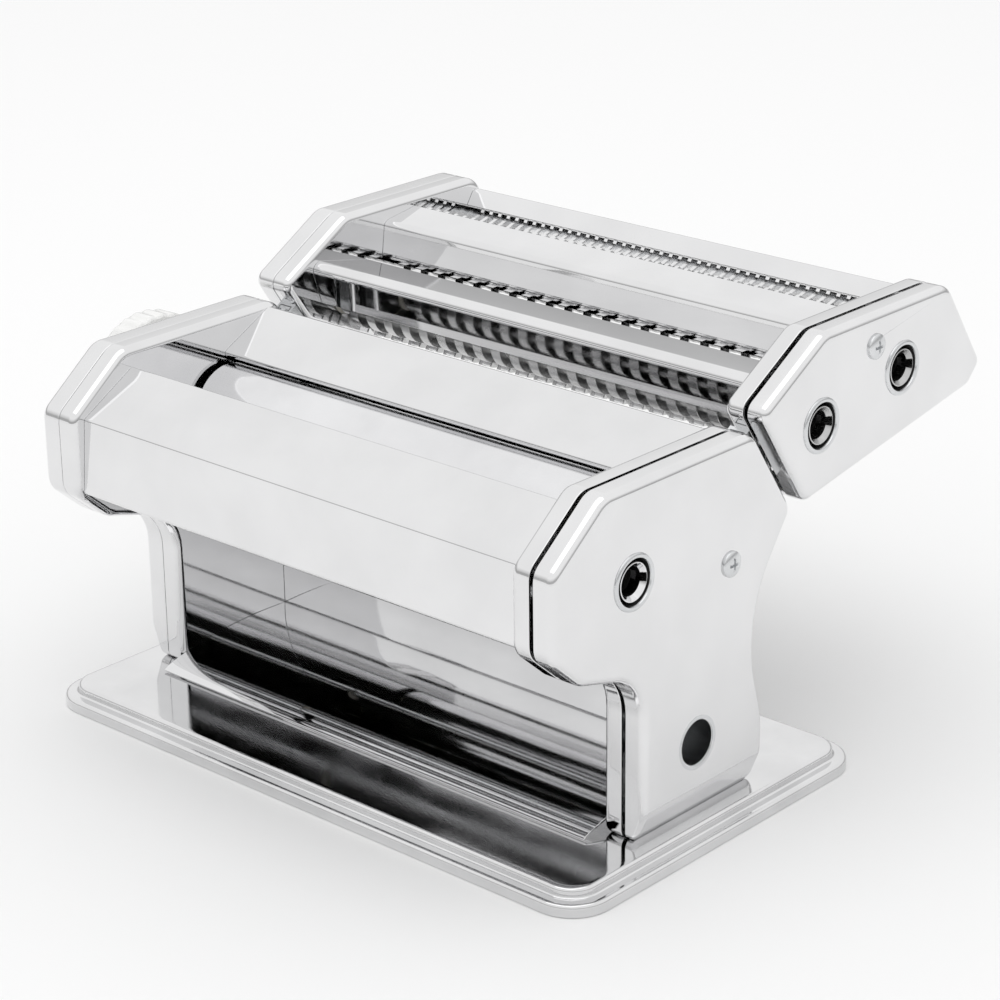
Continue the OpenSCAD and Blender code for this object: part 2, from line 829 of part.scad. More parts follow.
module driven_cutter(at, cut) {
    difference() {
        ring_cutter(at, cut, 0, face_x, drive_journal_r);
        socket_end(at, face_x);
    }
}

module idle_cutter(at, cut) {
    ring_cutter(at, cut, cut, plate_x + 1.5, small_journal_r);
}

module wide_driven_cutter() {
    color("silver") driven_cutter(wide_at, wide_cut);
}

module wide_idle_cutter() {
    color("silver") idle_cutter(wide_idle_at, wide_cut);
}

module fine_driven_cutter() {
    color("silver") driven_cutter(fine_at, fine_cut);
}

module fine_idle_cutter() {
    color("silver") idle_cutter(fine_idle_at, fine_cut);
}

module cutter_gear(at, turn) {
    color("goldenrod")
        spur(cutter_teeth, pair_d, 0.22, at, head_gear_in, head_gear_w, turn, small_journal_r + press);
}

module wide_driven_gear() {
    cutter_gear(wide_at, wide_tilt);
}

module wide_idle_gear() {
    cutter_gear(wide_idle_at, wide_tilt + 180 + 180 / cutter_teeth);
}

module fine_driven_gear() {
    cutter_gear(fine_at, fine_tilt);
}

module fine_idle_gear() {
    cutter_gear(fine_idle_at, fine_tilt + 180 + 180 / cutter_teeth);
}

// Fingers that lie in one roller's grooves. A strip under the panel's edge holds them; each finger follows
// the edge's direction for the length of lead, then turns down past the bite.
module comb(bite, tilt, edge, lead, lane, cut, shift) {
    pitch = 2 * cut;
    width = cut - 0.6;
    reach = in_x - end_gap - cut;
    across = [cos(tilt), sin(tilt)];
    up = [-sin(tilt), cos(tilt)];
    upper = bite + across * lane + up * 7;
    lower = bite + across * lane - up * 9;
    low = -floor((reach + shift) / pitch);
    count = floor((reach - shift) / pitch);
    for (k = [low:count])
        along_x(k * pitch + shift - width / 2, k * pitch + shift + width / 2)
            polygon(sheet([edge, edge + lead, upper, lower], comb_t));
    along_x(-in_x, in_x) polygon(sheet([edge - unit(lead) * 2.6, edge], comb_t));
}

// The front comb lies in the driven roller's grooves and the rear comb in its partner's.
module comb_pair(at, tilt, cut, slot, before, after, tooth) {
    bite = at + pair_d / 2 * [cos(tilt), sin(tilt)];
    front = unit(slot[0] - before);
    rear = unit(after - slot[1]);
    comb(bite, tilt, slot[0] + (sheet_t + comb_t + press) * [front[1], -front[0]], front * tooth,
        -comb_lane - comb_t / 2, cut, cut);
    comb(bite, tilt, slot[1] + (sheet_t + press) * [rear[1], -rear[0]], -rear * 1.2,
        comb_lane - comb_t / 2, cut, 0);
}

module wide_combs() {
    color("lightgray") comb_pair(wide_at, wide_tilt, wide_cut, wide_slot, head_lip, head_step, wide_tooth);
}

module fine_combs() {
    color("lightgray") comb_pair(fine_at, fine_tilt, fine_cut, fine_slot, head_step, head_rear, fine_tooth);
}

base_tray();
rubber_feet();
base_screws();
inner_plate_left();
inner_plate_right();
side_cover_left();
side_cover_right();
front_panel();
rear_panel();
back_wall();
chute();
tie_rods();
cover_posts();
cover_screws();
drive_bushes();
crank_ring();
clamp_sleeve();
block_guides();
front_scraper();
dock_rails();
knob_bush();
dial_plate();
drive_roller();
drive_gear();
bearing_block_left();
bearing_block_right();
block_bar();
cam_follower();
rear_scraper();
adjustable_roller();
adjustable_gear();
knob_shaft();
scroll_cam();
thickness_knob();
knob_cap();
detent_pin();
knob_spring();
cutter_plate_left();
cutter_plate_right();
cutter_cover_left();
cutter_cover_right();
cutter_front_panel();
cutter_middle_panel();
cutter_rear_panel();
cutter_tie_rods();
cutter_posts();
cutter_screws();
cutter_bushes();
cutter_crank_rings();
dock_channels();
wide_combs();
fine_combs();
wide_driven_cutter();
wide_driven_gear();
wide_idle_cutter();
wide_idle_gear();
fine_driven_cutter();
fine_driven_gear();
fine_idle_cutter();
fine_idle_gear();
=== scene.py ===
# %% [markdown]
# A hand-cranked pasta machine: two pressed-steel sides, a pair of smooth rollers between them, a
# thickness knob, and a cutter head that slides on behind. The engineering model comes in as a fixed
# frame, and every piece made here sits exactly where the frame says, because it moves with the
# frame's bodies.

# %% Load the frame
import json
import math

import bmesh
import bpy
import numpy as np
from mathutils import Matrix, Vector
from mathutils.geometry import delaunay_2d_cdt


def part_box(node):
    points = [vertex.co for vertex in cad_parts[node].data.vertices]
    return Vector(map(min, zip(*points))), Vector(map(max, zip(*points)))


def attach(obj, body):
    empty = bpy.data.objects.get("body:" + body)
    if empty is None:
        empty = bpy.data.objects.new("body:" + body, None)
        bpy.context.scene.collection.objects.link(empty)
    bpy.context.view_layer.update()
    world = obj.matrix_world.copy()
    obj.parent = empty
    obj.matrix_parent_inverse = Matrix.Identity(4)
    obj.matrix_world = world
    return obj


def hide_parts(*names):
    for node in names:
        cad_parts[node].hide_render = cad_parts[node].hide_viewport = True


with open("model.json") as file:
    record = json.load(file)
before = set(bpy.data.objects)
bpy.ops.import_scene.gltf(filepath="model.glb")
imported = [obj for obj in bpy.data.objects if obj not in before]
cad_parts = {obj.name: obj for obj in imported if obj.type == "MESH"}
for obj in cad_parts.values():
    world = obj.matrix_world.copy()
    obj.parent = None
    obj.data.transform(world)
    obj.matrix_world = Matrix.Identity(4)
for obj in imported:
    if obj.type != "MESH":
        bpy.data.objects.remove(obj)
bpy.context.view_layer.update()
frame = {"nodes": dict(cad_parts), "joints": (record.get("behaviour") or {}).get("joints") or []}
MM = 0.001

# %% [markdown]
# Sizes are read from the frame instead of typed in. A node's box gives the sheet positions, and the
# hinges of the record give the shaft centres.


# %% Places from the frame
def box_low(node):
    """Lowest corner of a node's box, in millimetres."""
    return np.array(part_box(node)[0]) / MM


def box_high(node):
    """Highest corner of a node's box, in millimetres."""
    return np.array(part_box(node)[1]) / MM


WEB = box_low("inner_plate_right")[0]
RIM = box_high("inner_plate_right")[0]
COVER_RIGHT = box_low("side_cover_right")[0]
COVER_LEFT = -box_high("side_cover_left")[0]
FACE = box_high("side_cover_right")[0]
BASE_TOP = box_high("base_tray")[2]
SHEET = 1.0
shaft = {j["name"]: np.array(j["pos_m"][1:]) / MM for j in frame["joints"] if j["type"] == "hinge"}
DRIVE, ADJUST = shaft["roller_crank"], shaft["adjustable_spin"]
WIDE, WIDE_IDLE = shaft["wide_crank"], shaft["wide_mesh"]
FINE, FINE_IDLE = shaft["fine_crank"], shaft["fine_mesh"]
print("sheet steel at x", WEB, RIM, COVER_RIGHT, COVER_LEFT, FACE, "shafts", shaft)

# %% [markdown]
# The camera stands to the right of the machine, a little above it, with a long lens, so the sides
# stay nearly parallel. Its place and turn are plain numbers, because a camera needs nothing
# cleverer.

# %% Camera
camera_data = bpy.data.cameras.new("camera")
camera_data.lens = 105.95
camera_data.sensor_width = 36.0
camera = bpy.data.objects.new("camera", camera_data)
camera.location = (0.58643, -0.61726, 0.41203)
camera.rotation_euler = [math.radians(a) for a in (68.646, 0.687, 42.033)]
bpy.context.scene.collection.objects.link(camera)
bpy.context.scene.camera = camera
print("camera at", tuple(camera.location))

# %% [markdown]
# Polished stainless steel has hardly a colour of its own: it shows the room. What makes it look
# like sheet metal and not like glass is a slow wave in the surface, a trace of polishing lines, and
# smudges that change how sharp the reflection is. All three come from noise on the object's own
# coordinates.


# %% Materials: node helpers
def new_material(name):
    """An empty node material with its Principled shader, returned together with its node tree."""
    material = bpy.data.materials.new(name)
    material.use_nodes = True
    return material, material.node_tree, material.node_tree.nodes["Principled BSDF"]


def noise_field(tree, scale, stretch=(1, 1, 1), detail=3.0):
    """Noise on object coordinates in metres; stretch makes it longer along an axis (a smaller
    number)."""
    place = tree.nodes.new("ShaderNodeTexCoord")
    mapping = tree.nodes.new("ShaderNodeMapping")
    mapping.inputs["Scale"].default_value = stretch
    noise = tree.nodes.new("ShaderNodeTexNoise")
    noise.inputs["Scale"].default_value = scale
    noise.inputs["Detail"].default_value = detail
    tree.links.new(place.outputs["Object"], mapping.inputs["Vector"])
    tree.links.new(mapping.outputs["Vector"], noise.inputs["Vector"])
    return noise.outputs["Fac"]


def remap(tree, value, low, high):
    """Stretches the middle of a 0 to 1 field over the range from low to high."""
    node = tree.nodes.new("ShaderNodeMapRange")
    node.inputs["From Min"].default_value = 0.3
    node.inputs["From Max"].default_value = 0.7
    node.inputs["To Min"].default_value = low
    node.inputs["To Max"].default_value = high
    tree.links.new(value, node.inputs["Value"])
    return node.outputs["Result"]


def shades(tree, value, dark, light):
    """A colour between two shades, chosen by a field."""
    ramp = tree.nodes.new("ShaderNodeValToRGB")
    ramp.color_ramp.elements[0].position, ramp.color_ramp.elements[1].position = 0.35, 0.65
    ramp.color_ramp.elements[0].color = (*dark, 1)
    ramp.color_ramp.elements[1].color = (*light, 1)
    tree.links.new(value, ramp.inputs["Fac"])
    return ramp.outputs["Color"]


def bumps(tree, fields):
    """Chains height fields, each given with its height in metres, into one surface normal."""
    last = None
    for value, height in fields:
        bump = tree.nodes.new("ShaderNodeBump")
        bump.inputs["Strength"].default_value = 1.0
        bump.inputs["Distance"].default_value = height
        tree.links.new(value, bump.inputs["Height"])
        if last:
            tree.links.new(last, bump.inputs["Normal"])
        last = bump.outputs["Normal"]
    return last


# %% [markdown]
# Seven kinds of bare metal are seen, and they differ in how they were worked. Panels are bright
# sheet and mirror the room. Covers and base are pressed, then polished in one direction, so they
# reflect a little more softly. Rollers and cutters are turned, with lines round the shaft, and the
# gears are dull with oil. Image textures could do it too, but noise needs no image, so one function
# makes all seven.


# %% Materials: the metals
def metal(name, dark, light, rough, wave=0.0, lines=0.0, along=(1, 1, 1)):
    """Bare metal: rough gives the sharpest and softest reflection, wave the height of the sheet's
    slow waviness, and lines the depth of fine polishing marks stretched along one axis."""
    material, tree, shader = new_material(name)
    shader.inputs["Metallic"].default_value = 1.0
    smudge = noise_field(tree, 38, detail=5)
    tree.links.new(shades(tree, smudge, dark, light), shader.inputs["Base Color"])
    tree.links.new(remap(tree, smudge, *rough), shader.inputs["Roughness"])
    fields = []
    if wave:
        fields.append((noise_field(tree, 16, detail=0), wave))
    if lines:
        fields.append((noise_field(tree, 900, along, 2), lines))
    if fields:
        tree.links.new(bumps(tree, fields), shader.inputs["Normal"])
    return material


MIRROR = metal("polished sheet", (0.76, 0.76, 0.765), (0.8, 0.8, 0.805), (0.03, 0.06), wave=2.5e-5)
SATIN = metal("polished pressing", (0.77, 0.77, 0.775), (0.81, 0.81, 0.815), (0.1, 0.17), wave=2e-5,
              lines=1e-6, along=(1, 0.06, 1))
BASE = metal("polished base", (0.7, 0.7, 0.705), (0.77, 0.77, 0.775), (0.05, 0.11), wave=3e-5,
             lines=1e-6, along=(0.05, 1, 1))
TURNED = metal("turned roller steel", (0.74, 0.74, 0.75), (0.82, 0.82, 0.83), (0.08, 0.16),
               lines=2e-6, along=(1, 0.03, 0.03))
CUT = metal("cutter steel", (0.5, 0.5, 0.5), (0.62, 0.62, 0.62), (0.16, 0.3),
            lines=3e-6, along=(1, 0.05, 0.05))
ZINC = metal("zinc-bright steel", (0.62, 0.63, 0.64), (0.74, 0.75, 0.76), (0.18, 0.3), lines=2e-6)
GEAR = metal("oiled gear steel", (0.3, 0.28, 0.25), (0.46, 0.44, 0.4), (0.22, 0.42), lines=4e-6)
print("metals made:", [m.name for m in bpy.data.materials])


# %% [markdown]
# The rest is moulded: a pale glossy knob, nylon bushes and black rubber feet. A mould leaves a fine
# grain and a colour that is barely uneven, and the knob has a clear coat over it. The inside of bores
# and gaps gets a painted shade, a near-black material, because a bright bore would show the room in
# its wall and wouldn't read as a hole.


# %% Materials: plastics, rubber and painted bore shade
def moulded(name, dark, light, rough, grain, coat=0.0):
    """Moulded plastic or rubber: a faint colour change, a fine moulded grain and, if coat is given,
    a gloss."""
    material, tree, shader = new_material(name)
    shader.inputs["Coat Weight"].default_value = coat
    shader.inputs["Coat Roughness"].default_value = 0.05
    tint = noise_field(tree, 60)
    tree.links.new(shades(tree, tint, dark, light), shader.inputs["Base Color"])
    tree.links.new(remap(tree, tint, *rough), shader.inputs["Roughness"])
    tree.links.new(bumps(tree, [(noise_field(tree, 1600), grain)]), shader.inputs["Normal"])
    return material


NYLON = moulded("moulded nylon", (0.72, 0.69, 0.6), (0.8, 0.78, 0.7), (0.35, 0.5), 1e-5)
RUBBER = moulded("black rubber", (0.012, 0.012, 0.012), (0.03, 0.03, 0.03), (0.6, 0.8), 3e-5)
# Near-black painted shade for the insides of bores and gaps, which lie in shadow.
PAINTED_SHADE = moulded("painted bore shade", (0.004, 0.004, 0.004), (0.012, 0.012, 0.012), (0.5, 0.7), 1e-5)
PALE = moulded("pale glossy plastic", (0.84, 0.84, 0.83), (0.9, 0.9, 0.89), (0.12, 0.2), 2e-6, coat=0.6)
print("materials made:", len(bpy.data.materials))

# %% [markdown]
# Every outline here is a polygon whose corners are rounded. Working out the arcs as whole arrays
# keeps the points and, just as useful, the outward direction at each of them: moving the outline in
# by a distance is then a single subtraction.


# %% Outlines and paths
def unit(v):
    """Each row scaled to length 1."""
    return v / np.linalg.norm(v, axis=-1, keepdims=True)


def rounded_loop(corners, steps=9):
    """Closed anticlockwise outline. At each corner an arc of the given radius replaces the tip: it
    starts radius x tan(half the turn) before the corner. Where there is no turn, the points just
    spread over the radius on both sides. Returns the points and the outward directions."""
    corner = np.array(corners, float)
    p, r = corner[:, None, :2], corner[:, None, 2:]
    before = unit(p - np.roll(p, 1, 0))
    after = unit(np.roll(p, -1, 0) - p)
    sine = before[..., :1] * after[..., 1:] - before[..., 1:] * after[..., :1]
    turn = np.arctan2(sine, (before * after).sum(-1, keepdims=True))
    side = np.where(turn < 0, -1.0, 1.0)
    left = np.concatenate([-before[..., 1:], before[..., :1]], -1)
    hub = p - before * r * np.tan(abs(turn) / 2) + left * side * r
    t = np.linspace(0, 1, steps)[None, :, None]
    spoke = -left * side
    angle = np.arctan2(spoke[..., 1:], spoke[..., :1]) + turn * t
    ray = np.concatenate([np.cos(angle), np.sin(angle)], -1)
    straight = abs(turn) < 1e-6
    points = np.where(straight, p + before * r * (2 * t - 1), hub + r * ray)
    outward = np.where(straight, -left + 0 * ray, ray * side)
    return points.reshape(-1, 2), outward.reshape(-1, 2)


def rounded_line(corners, steps=7):
    """Open path with the same arcs at its inner corners."""
    corner = np.array(corners, float)
    ends = corner[[0, -1], :2]
    arcs = rounded_loop(corner, steps)[0].reshape(len(corner), steps, 2)[1:-1].reshape(-1, 2)
    return np.concatenate([ends[:1], arcs, ends[1:]])


def circle(centre, radius, steps=48):
    """Points round a circle, anticlockwise."""
    a = np.arange(steps) * 2 * np.pi / steps
    return np.array(centre) + radius * np.stack([np.cos(a), np.sin(a)], -1)


# %% [markdown]
# Meshes come from two sources. A grid of rows and columns covers anything swept or turned, and its
# faces are index arithmetic. A flat face with holes punched in it is filled by a constrained
# triangulation, which keeps the outline and the holes as edges and adds no points of its own.


# %% Grids and punched faces
def grid_quads(rows, columns, wrap_columns=True, wrap_rows=False):
    """Index quads of a grid: each joins a point to its neighbours in the next column and the next
    row."""
    r = np.arange(rows if wrap_rows else rows - 1)[:, None]
    c = np.arange(columns if wrap_columns else columns - 1)[None, :]
    r2, c2 = (r + 1) % rows, (c + 1) % columns
    quads = np.stack([r * columns + c, r * columns + c2, r2 * columns + c2, r2 * columns + c], -1)
    return quads.reshape(-1, 4)


def within(points, loop):
    """Whether each point lies inside a closed loop, by counting how often a level line to it
    crosses."""
    a, b = loop[None], np.roll(loop, -1, 0)[None]
    x, y = points[:, None, 0], points[:, None, 1]
    spans = (a[..., 1] > y) != (b[..., 1] > y)
    rise = np.where(b[..., 1] == a[..., 1], 1.0, b[..., 1] - a[..., 1])
    return (spans & (x < a[..., 0] + (y - a[..., 1]) / rise * (b[..., 0] - a[..., 0]))).sum(1) % 2 == 1


def punched_face(loop, holes=(), creases=()):
    """Triangles that fill a loop but not its holes, as indices into the loop's points followed by
    the holes' points. Creases are extra pairs of loop points that have to be joined by an edge."""
    points = np.concatenate([loop, *holes])
    edges, start = [tuple(pair) for pair in creases], 0
    for ring in [loop, *holes]:
        i = np.arange(len(ring))
        edges += zip((start + i).tolist(), (start + np.roll(i, -1)).tolist())
        start += len(ring)
    made = delaunay_2d_cdt([Vector(p) for p in points], edges, [], 0, 1e-6)
    source = np.array([origin[0] if origin else -1 for origin in made[3]])
    triangles = source[np.array(made[2])]
    middle = points[triangles].mean(1)
    keep = within(middle, loop) & (triangles >= 0).all(1)
    for hole in holes:
        keep &= ~within(middle, hole)
    return triangles[keep]


# %% [markdown]
# One function turns arrays into a finished piece: it welds seams and poles, smooths the shading,
# gives sheet metal its thickness with Solidify, breaks the cut edges with a small Bevel and lets
# Weighted Normal keep the flats flat. Then it hangs the piece on the body it moves with and hides
# the engineering nodes it stands for.


# %% Finishing a piece
pieces = []


def finish_piece(name, points, faces, body, material, stands_for=(), sheet=0.0, edge=0.0,
                 dark_faces=None):
    """Makes the mesh from millimetres and returns its object. sheet is the metal's thickness, laid
    inwards, and edge the size of the bevel on cut edges, both in millimetres."""
    mesh = bpy.data.meshes.new(name)
    mesh.from_pydata((np.asarray(points) * MM).tolist(), [], [list(map(int, f)) for f in faces])
    mesh.materials.append(material)
    # Faces marked 1 in dark_faces take the near-black painted shade of bores and gaps.
    if dark_faces is not None:
        mesh.materials.append(PAINTED_SHADE)
        mesh.polygons.foreach_set("material_index", np.asarray(dark_faces, np.int32))
    shape = bmesh.new()
    shape.from_mesh(mesh)
    bmesh.ops.remove_doubles(shape, verts=shape.verts, dist=1e-6)
    shape.to_mesh(mesh)
    shape.free()
    mesh.shade_smooth()
    piece = bpy.data.objects.new(name, mesh)
    bpy.context.scene.collection.objects.link(piece)
    if sheet:
        wall = piece.modifiers.new("wall", "SOLIDIFY")
        wall.thickness, wall.offset, wall.use_even_offset = sheet * MM, -1.0, True
    if edge:
        bevel = piece.modifiers.new("edge", "BEVEL")
        bevel.width, bevel.segments, bevel.limit_method = edge * MM, 2, "ANGLE"
        bevel.angle_limit = math.radians(50)
        piece.modifiers.new("flats", "WEIGHTED_NORMAL")
    else:
        mesh.set_sharp_from_angle(angle=math.radians(32))
    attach(piece, body)
    if stands_for:
        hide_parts(*stands_for)
    pieces.append(piece)
    return piece


# %% [markdown]
# The four sides of the machine and the four of the cutter head are all the same kind of pressing: a
# flat face whose edge is folded over into a shallow rim. The skin is a sweep round the outline. The
# rows of the grid go up the rim and round the fold, and the flat face closes it.


# %% Pressed pans
def pressed_pan(corners, rim_x, face_x, fold, holes=(), crease=None):
    """Skin of a pressing. A point is the outline moved inwards by the profile's inset, at the
    profile's height along X; the fold is a quarter circle. crease (height, slope, two corner
    numbers) makes the pressing shallower below a height, by a slope that starts softly."""
    p, outward = rounded_loop(corners)
    sign = 1 if face_x > rim_x else -1
    bend = np.linspace(0, np.pi / 2, 8)
    inset = np.r_[0, fold * (1 - np.cos(bend))]
    x = np.r_[rim_x, face_x - sign * fold * (1 - np.sin(bend))]
    flat = p[None] - inset[:, None, None] * outward[None]
    creases = []
    if crease:
        start, count = crease[2:], len(p) // len(corners)
        i = np.arange(count)
        creases = list(zip((start[0] * count + i).tolist(), (start[1] * count + count - 1 - i).tolist()))
    cap = punched_face(flat[-1], holes, creases)
    offset = (len(x) - 1) * len(p)
    faces = [*grid_quads(len(x), len(p)), *(cap + offset)]
    plane = np.concatenate([flat.reshape(-1, 2), *holes])
    level = np.concatenate([np.repeat(x, len(p)), np.full(sum(map(len, holes)), face_x)])
    if crease:
        drop = crease[0] - plane[:, 1]
        depth = 1 - crease[1] * (drop + np.sqrt(drop ** 2 + 0.3)) / 2 / abs(face_x - rim_x)
        level = rim_x + (level - rim_x) * depth
    if sign < 0:
        faces = [f[::-1] for f in faces]
    return np.column_stack([level, plane]), faces


CREASE_Z = 17.5
SIDE = [
    (-30, BASE_TOP, 2.8), (26.5, BASE_TOP, 2.8), (26.5, CREASE_Z, 1.2), (26.5, 30, 40), (17, 62, 45),
    (38.6, 92.5, 5), (19.5, 121.2, 7), (-47.5, 121.2, 8), (-69.5, 104, 6), (-69.5, 78.5, 7),
    (-57, 67.5, 8), (-30, 60, 16), (-30, CREASE_Z, 1.2)]
SLOPE_LOW, SLOPE_TOP = np.array(SIDE[5][:2]), np.array(SIDE[6][:2])
SLOPE = unit(SLOPE_TOP - SLOPE_LOW)
AWAY = np.array([SLOPE[1], -SLOPE[0]])
DOCK_GAP = 5.0
HEAD_LOW = SLOPE_LOW + AWAY * DOCK_GAP
NOSE = HEAD_LOW + SLOPE * (np.linalg.norm(SLOPE_TOP - SLOPE_LOW) + 1.6)
HEAD = [
    (*(HEAD_LOW - SLOPE * 4.2), 4), (130.5, 106.3, 5), (137, 113, 3.5),
    (117, 142.8, 8), (52.8, 142.8, 8), (*NOSE, 4)]
CREASE = (CREASE_Z, 0.44, 2, 12)
print("outline points:", len(rounded_loop(SIDE)[0]), len(rounded_loop(HEAD)[0]))

# %% [markdown]
# The covers: polished pressings with a soft fold. The holes for the crank, the clamp and the screws
# are punched through the flat face, and near the base the pressing becomes shallower, as on the
# real one.

# %% Covers
CLAMP = np.array([-5.6, 32.0])
POST_RIGHT, POST_LEFT = np.array([9, 83.9]), np.array([28, 93])
HEAD_POST_RIGHT, HEAD_POST_LEFT = np.array([78.3, 132.5]), np.array([64, 131])
COLLAR_R = 7.7
SCREW_R = 2.0
CLAMP_R = 7.3
KNOB_BUSH_R = 6.6
COVER_FOLD = 2.6
CUT_EDGE = 0.25


def cover(name, corners, side, holes, body, crease=None):
    """A cover on the crank side (+1) or the knob side (-1)."""
    rim_x = COVER_RIGHT if side > 0 else -COVER_LEFT
    points, faces = pressed_pan(corners, rim_x, side * FACE, COVER_FOLD, holes, crease)
    return finish_piece(name + "_shell", points, faces, body, SATIN, [name],
                        SHEET, CUT_EDGE)


cover("side_cover_right", SIDE, 1,
      [circle(DRIVE, COLLAR_R), circle(CLAMP, CLAMP_R), circle(POST_RIGHT, SCREW_R, 24)],
      "frame", CREASE)
cover("side_cover_left", SIDE, -1,
      [circle(ADJUST, KNOB_BUSH_R), circle(POST_LEFT, SCREW_R, 24)], "frame", CREASE)
cover("cutter_cover_right", HEAD, 1,
      [circle(WIDE, COLLAR_R), circle(FINE, COLLAR_R), circle(HEAD_POST_RIGHT, SCREW_R, 24)],
      "cutter_head")
cover("cutter_cover_left", HEAD, -1, [circle(HEAD_POST_LEFT, SCREW_R, 24)], "cutter_head")
print("covers made:", len(pieces))

# %% [markdown]
# The inner plates face the other way: the flat web looks inwards and the rim turns out to meet the
# cover. Their webs have long slots where the adjustable roller's shaft and its bar slide.


# %% Inner plates
def slot_loop(centre, radius, run, steps=17):
    """Outline of a slot: two half circles a run apart along Y."""
    a = np.linspace(-np.pi / 2, np.pi / 2, steps)
    half = radius * np.stack([np.cos(a), np.sin(a)], -1)
    return np.concatenate([centre + [run, 0] + half, centre - half])


PLATE_FOLD = 2.6
GAP_TRAVEL = 2.7
ROLLER_SLOT_R = 5.3
BAR_SLOT_R = 3.3
BAR_HALF = 3
CRANK_BUSH_R = 7.55
DRIVE_BUSH_R = 6.55
SMALL_BUSH_R = 5.55
BAR = box_low("block_bar")[1:] + BAR_HALF
roller_slots = [slot_loop(ADJUST, ROLLER_SLOT_R, GAP_TRAVEL), slot_loop(BAR, BAR_SLOT_R, GAP_TRAVEL)]


def inner_plate(name, corners, side, holes, body):
    """A plate whose web faces the rollers and whose rim points outwards."""
    points, faces = pressed_pan(corners, side * RIM, side * WEB, PLATE_FOLD, holes)
    return finish_piece(name + "_shell", points, faces, body, MIRROR, [name],
                        SHEET, CUT_EDGE)


PLATE_SIDE = [c for i, c in enumerate(SIDE) if i not in CREASE[2:]]
for side, word, drive_r, cutter_r in [
        (1, "right", CRANK_BUSH_R, CRANK_BUSH_R), (-1, "left", DRIVE_BUSH_R, SMALL_BUSH_R)]:
    inner_plate("inner_plate_" + word, PLATE_SIDE, side, [circle(DRIVE, drive_r), *roller_slots],
                "frame")
    bearing = [circle(WIDE, cutter_r), circle(FINE, cutter_r),
               circle(WIDE_IDLE, SMALL_BUSH_R), circle(FINE_IDLE, SMALL_BUSH_R)]
    inner_plate("cutter_plate_" + word, HEAD, side, bearing, "cutter_head")
print("plates made:", len(pieces))

# %% [markdown]
# The base is one drawn tray: a low outer wall, a narrow ledge, a step and the deck. Its profile is
# swept round a rounded rectangle, and its corners stay round because every row of the sweep is
# moved in along the outline's own outward directions.

# %% Base
base_low, base_high = box_low("base_tray"), box_high("base_tray")
BASE_R = 13.5
LEDGE_Z = 3.9
STEP_W = 4.5
DECK_LAP = 2.4
FINE_EDGE = 0.2
plan, plan_out = rounded_loop([
    (base_low[0], base_low[1], BASE_R), (base_high[0], base_low[1], BASE_R),
    (base_high[0], base_high[1], BASE_R), (base_low[0], base_high[1], BASE_R)], 15)
section = rounded_line([
    (0, 0, 0), (0, LEDGE_Z, 1.2), (STEP_W - 0.2, LEDGE_Z, 0.9),
    (STEP_W, BASE_TOP, 1.3), (STEP_W + DECK_LAP, BASE_TOP, 0)])
rows = plan[None] - section[:, :1, None] * plan_out[None]
deck = punched_face(rows[-1]) + (len(section) - 1) * len(plan)
points = np.column_stack([rows.reshape(-1, 2), np.repeat(section[:, 1], len(plan))])
base = finish_piece("base_shell", points, [*grid_quads(len(section), len(plan)), *deck], "frame", BASE,
                    ["base_tray"], SHEET, FINE_EDGE)
print("base faces:", len(base.data.polygons))

# %% [markdown]
# The panels between the sides are plain folded sheet: a path of a few folds, carried from plate to
# plate. A fold gets a small radius because that is what catches the light as one bright line along
# the machine.


# %% Folded panels
PANEL_HALF = WEB - 0.05


def between_plates(line):
    """A path of (y, z) carried across the whole width between the plates, as points and quads."""
    x = np.linspace(-PANEL_HALF, PANEL_HALF, 3)
    points = np.stack([np.repeat(x, len(line)), *np.tile(line, (len(x), 1)).T], -1)
    return points, grid_quads(len(x), len(line), wrap_columns=False)[:, ::-1]


def folded_panel(name, path, body):
    """A sheet that follows a path of (y, z, fold radius) from plate to plate."""
    points, quads = between_plates(rounded_line(path))
    return finish_piece(name + "_sheet", points, quads, body, MIRROR, [name],
                        SHEET, FINE_EDGE)


WIDE_SLOT, FINE_SLOT = ((62.5, 125.4), (69, 123.6)), ((85.8, 139.3), (112, 133.8))
panels = {
    "front_panel": [
        (-61, 78, 0), (-67, 78, 1.4), (-65, 102.9, 1.3), (-43.6, 115.4, 1.4), (-42.4, 111.5, 0)],
    "rear_panel": [(-3.4, 106.9, 0), (-5.6, 109.4, 1.4), (16.2, 120.6, 2), (28.6, 102, 0)],
    "back_wall": [(17.2, 13.6, 0), (17.2, 98, 2), (21, 101, 0)],
}
head_panels = {
    "cutter_front_panel": [(39.8, 115.5, 0), (35, 131.2, 3), (*WIDE_SLOT[0], 0)],
    "cutter_middle_panel": [(*WIDE_SLOT[1], 0), (70.7, 137, 2.4), (*FINE_SLOT[0], 0)],
    "cutter_rear_panel": [(*FINE_SLOT[1], 0), (116.6, 140.6, 2.2), (132.6, 116.5, 0)],
}
for name, path in panels.items():
    folded_panel(name, path, "frame")
for name, path in head_panels.items():
    folded_panel(name, path, "cutter_head")
print("panels made:", len(panels) + len(head_panels))

# %% [markdown]
# The chute under the rollers is a long low hump that turns the sheet of dough forwards. Its crown
# is a sine curve, and being a mirror it folds the dark underside of the machine into bands.

# %% Chute
chute_low, chute_high = box_low("chute"), box_high("chute")
CHUTE_LIFT = 0.9
CHUTE_CROWN = 6.5
CHUTE_SHEET = 0.8
t = np.linspace(0, 1, 41)
crown = CHUTE_LIFT + CHUTE_CROWN * np.sin(np.radians(90 * t ** 0.72 * 1.22)) * (0.9 + 0.1 * t)
line = np.column_stack([chute_low[1] + t * (chute_high[1] - chute_low[1]), BASE_TOP + crown])
points, quads = between_plates(line)
finish_piece("chute_sheet", points, quads, "frame", MIRROR, ["chute"],
             CHUTE_SHEET, FINE_EDGE)
print("chute crown height:", round(float(line[:, 1].max()), 2))

